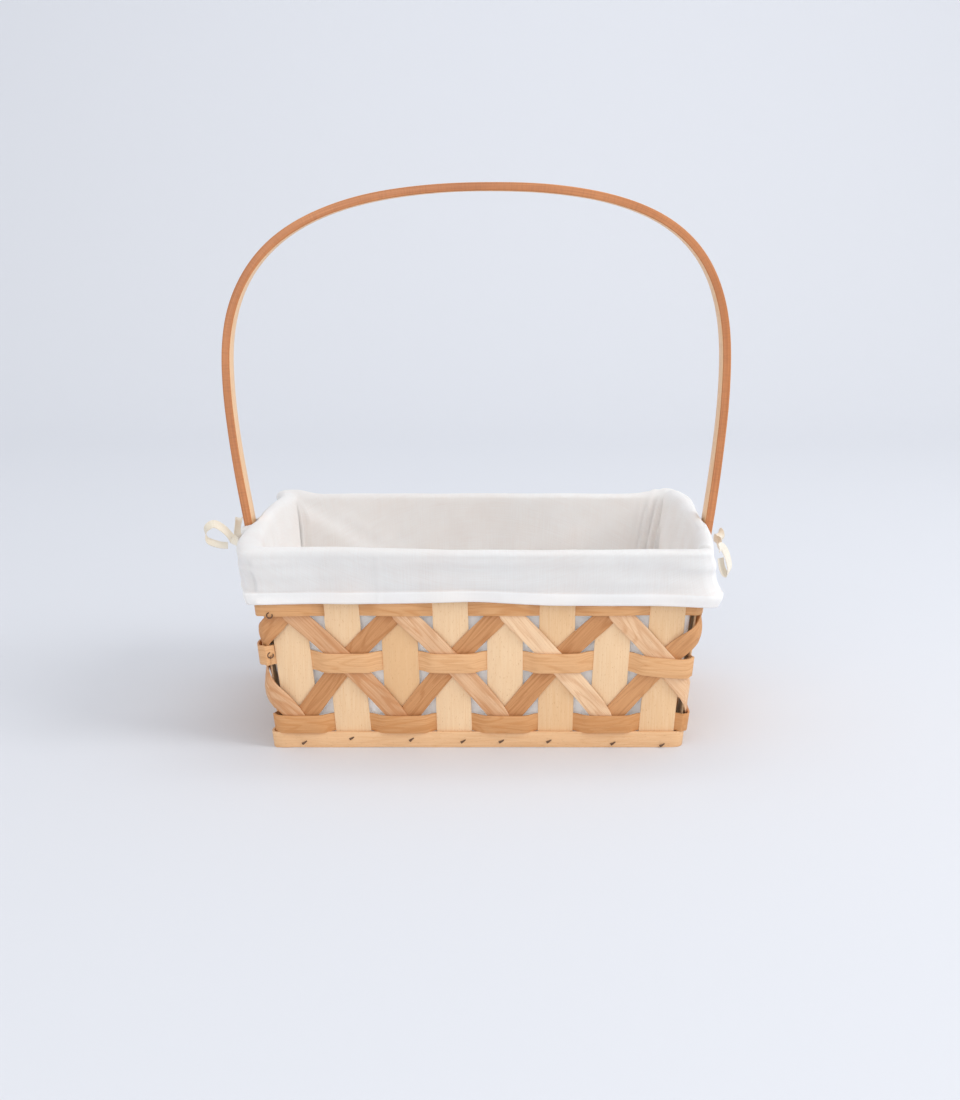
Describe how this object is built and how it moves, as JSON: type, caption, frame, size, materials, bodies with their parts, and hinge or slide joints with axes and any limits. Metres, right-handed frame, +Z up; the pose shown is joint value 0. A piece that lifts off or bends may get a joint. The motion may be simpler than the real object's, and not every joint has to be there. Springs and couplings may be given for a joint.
{
  "type": "flower girl basket",
  "caption": "Rectangular open basket of woven flat wood splints with a tall fixed bentwood handle and a cotton bag liner folded over the rim and tied at each handle leg.",
  "frame": {"origin": "on the ground, under the middle of the foot", "axes": "+Z up; the long walls face -Y (front) and +Y (back); the handle's legs stand on the end walls at -X and +X"},
  "size_m": [0.3829, 0.2396, 0.3804],
  "materials": {
    "stake_wood": "bare sliced wood, satin",
    "hoop_wood": "bare sliced wood, satin",
    "rising_splint_wood": "bare sliced wood, satin",
    "falling_splint_wood": "bare sliced wood, satin",
    "base_band_wood": "bare sawn wood, satin",
    "rim_band_wood": "bare sawn wood, satin",
    "handle_wood": "bent wood, clear coated",
    "liner_cotton": "plain woven cotton, matt",
    "tie_cotton": "woven cotton tape, matt",
    "nail_steel": "oxidised wire nail"
  },
  "bodies": {
    "root": {"base_band": "base_band_wood", "bottom_hoop": "hoop_wood", "end_wall_stake_1": "stake_wood", "end_wall_stake_2": "stake_wood", "end_wall_stake_3": "stake_wood", "end_wall_stake_4": "stake_wood", "end_wall_stake_5": "stake_wood", "end_wall_stake_6": "stake_wood", "falling_splint_01": "falling_splint_wood", "falling_splint_02": "falling_splint_wood", "falling_splint_03": "falling_splint_wood", "falling_splint_04": "falling_splint_wood", "falling_splint_05": "falling_splint_wood", "falling_splint_06": "falling_splint_wood", "falling_splint_07": "falling_splint_wood", "falling_splint_08": "falling_splint_wood", "falling_splint_09": "falling_splint_wood", "falling_splint_10": "falling_splint_wood", "falling_splint_11": "falling_splint_wood", "falling_splint_12": "falling_splint_wood", "falling_splint_13": "falling_splint_wood", "falling_splint_14": "falling_splint_wood", "handle": "handle_wood", "inner_rim_band": "rim_band_wood", "left_back_tie": "tie_cotton", "left_front_tie": "tie_cotton", "left_handle_nail_1": "nail_steel", "left_handle_nail_2": "nail_steel", "liner": "liner_cotton", "liner_cuff": "liner_cotton", "long_wall_stake_1": "stake_wood", "long_wall_stake_2": "stake_wood", "long_wall_stake_3": "stake_wood", "long_wall_stake_4": "stake_wood", "long_wall_stake_5": "stake_wood", "long_wall_stake_6": "stake_wood", "long_wall_stake_7": "stake_wood", "long_wall_stake_8": "stake_wood", "middle_hoop": "hoop_wood", "outer_rim_band": "rim_band_wood", "right_back_tie": "tie_cotton", "right_front_tie": "tie_cotton", "right_handle_nail_1": "nail_steel", "right_handle_nail_2": "nail_steel", "rising_splint_01": "rising_splint_wood", "rising_splint_02": "rising_splint_wood", "rising_splint_03": "rising_splint_wood", "rising_splint_04": "rising_splint_wood", "rising_splint_05": "rising_splint_wood", "rising_splint_06": "rising_splint_wood", "rising_splint_07": "rising_splint_wood", "rising_splint_08": "rising_splint_wood", "rising_splint_09": "rising_splint_wood", "rising_splint_10": "rising_splint_wood", "rising_splint_11": "rising_splint_wood", "rising_splint_12": "rising_splint_wood", "rising_splint_13": "rising_splint_wood", "rising_splint_14": "rising_splint_wood", "top_hoop": "hoop_wood"}
  },
  "joints": []
}
